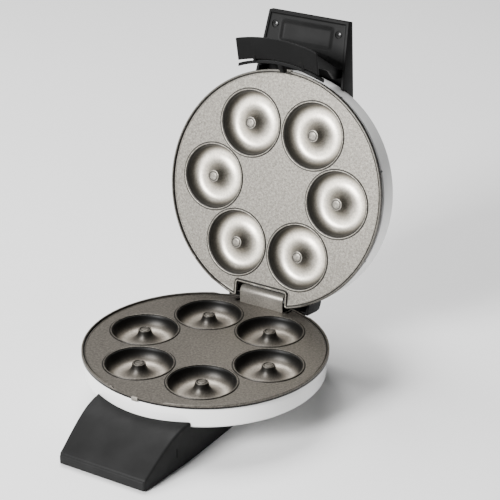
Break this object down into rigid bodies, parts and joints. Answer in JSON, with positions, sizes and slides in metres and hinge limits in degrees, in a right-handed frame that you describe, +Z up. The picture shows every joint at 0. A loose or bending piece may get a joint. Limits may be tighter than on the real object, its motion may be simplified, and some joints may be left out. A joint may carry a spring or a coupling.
{
  "type": "donut maker",
  "caption": "Clamshell donut maker with ring cavities in both hot plates, white round casings, a black wedge stand, handle band and swinging latch, lid open.",
  "frame": {"origin": "centre of the open appliance's bounding box in X and Y, at the bottom of the rubber feet", "axes": "+Z up, +Y from the stand's front lip to the hinge, +X to the right seen from the front"},
  "size_m": [0.23, 0.3576, 0.3272],
  "materials": {
    "lower_coating": "cast aluminium with a grey speckled non-stick coating",
    "upper_coating": "cast aluminium with a grey speckled non-stick coating",
    "white_casing": "glossy white heat-resistant moulding",
    "black_moulding": "satin black moulding with fine texture",
    "black_trim": "satin black moulding",
    "dark_bezel": "matte black heat-resistant moulding",
    "steel": "bright zinc-plated steel",
    "black_steel": "blackened steel",
    "reflector_sheet": "aluminised steel sheet",
    "element_sheath": "oxidised steel sheath",
    "rubber": "matte black rubber",
    "lead_insulation": "silicone insulated lead",
    "lamp_glass": "clear glass neon lamp",
    "red_lens": "red translucent lens",
    "green_lens": "green translucent lens",
    "pale_plastic": "pale terminal block moulding",
    "dark_phenolic": "phenolic thermostat case",
    "fuse_case": "metal fuse case"
  },
  "bodies": {
    "base": {"base_stand": "black_moulding", "cord_gland": "black_trim", "hinge_clip_1": "steel", "hinge_clip_2": "steel", "hinge_pin": "steel", "housing_screw_1": "steel", "housing_screw_2": "steel", "housing_screw_3": "steel", "housing_screw_4": "steel", "lower_heating_element": "element_sheath", "lower_housing": "white_casing", "lower_lead_1": "lead_insulation", "lower_lead_2": "lead_insulation", "lower_plate": "lower_coating", "lower_plate_screw_1": "steel", "lower_plate_screw_2": "steel", "lower_plate_screw_3": "steel", "lower_plate_screw_4": "steel", "lower_reflector": "reflector_sheet", "lower_thermal_fuse": "fuse_case", "lower_thermostat": "dark_phenolic", "rubber_foot_1": "rubber", "rubber_foot_2": "rubber", "rubber_foot_3": "rubber", "rubber_foot_4": "rubber", "stand_bottom_cover": "black_trim", "stand_cover_screw_1": "steel", "stand_cover_screw_2": "steel", "stand_cover_screw_3": "steel", "stand_cover_screw_4": "steel", "terminal_block": "pale_plastic"},
    "lid": {"band_screw_1": "steel", "band_screw_2": "steel", "band_screw_3": "steel", "band_screw_4": "steel", "handle_cover": "black_trim", "handle_screw_1": "black_steel", "handle_screw_2": "black_steel", "latch_pivot_pin_1": "steel", "latch_pivot_pin_2": "steel", "lid_band": "black_moulding", "lid_bezel_ring": "dark_bezel", "lid_housing": "white_casing", "neon_lamp_1": "lamp_glass", "neon_lamp_2": "lamp_glass", "power_lamp_lens": "red_lens", "ready_lamp_lens": "green_lens", "upper_heating_element": "element_sheath", "upper_lead_1": "lead_insulation", "upper_lead_2": "lead_insulation", "upper_plate": "upper_coating", "upper_plate_screw_1": "steel", "upper_plate_screw_2": "steel", "upper_plate_screw_3": "steel", "upper_plate_screw_4": "steel", "upper_reflector": "reflector_sheet", "upper_thermal_fuse": "fuse_case", "upper_thermostat": "dark_phenolic"},
    "latch": {"latch_clip": "black_trim"}
  },
  "joints": [
    {"name": "lid_hinge", "type": "hinge", "parent": "base", "child": "lid", "pos_m": [0, 0.09172, 0.0661], "axis": [1, 0, 0], "range_deg": [0, 102.5]},
    {"name": "latch_pivot", "type": "hinge", "parent": "lid", "child": "latch", "pos_m": [0, 0.16667, 0.27759], "axis": [-1, 0, 0], "range_deg": [0, 20]}
  ]
}
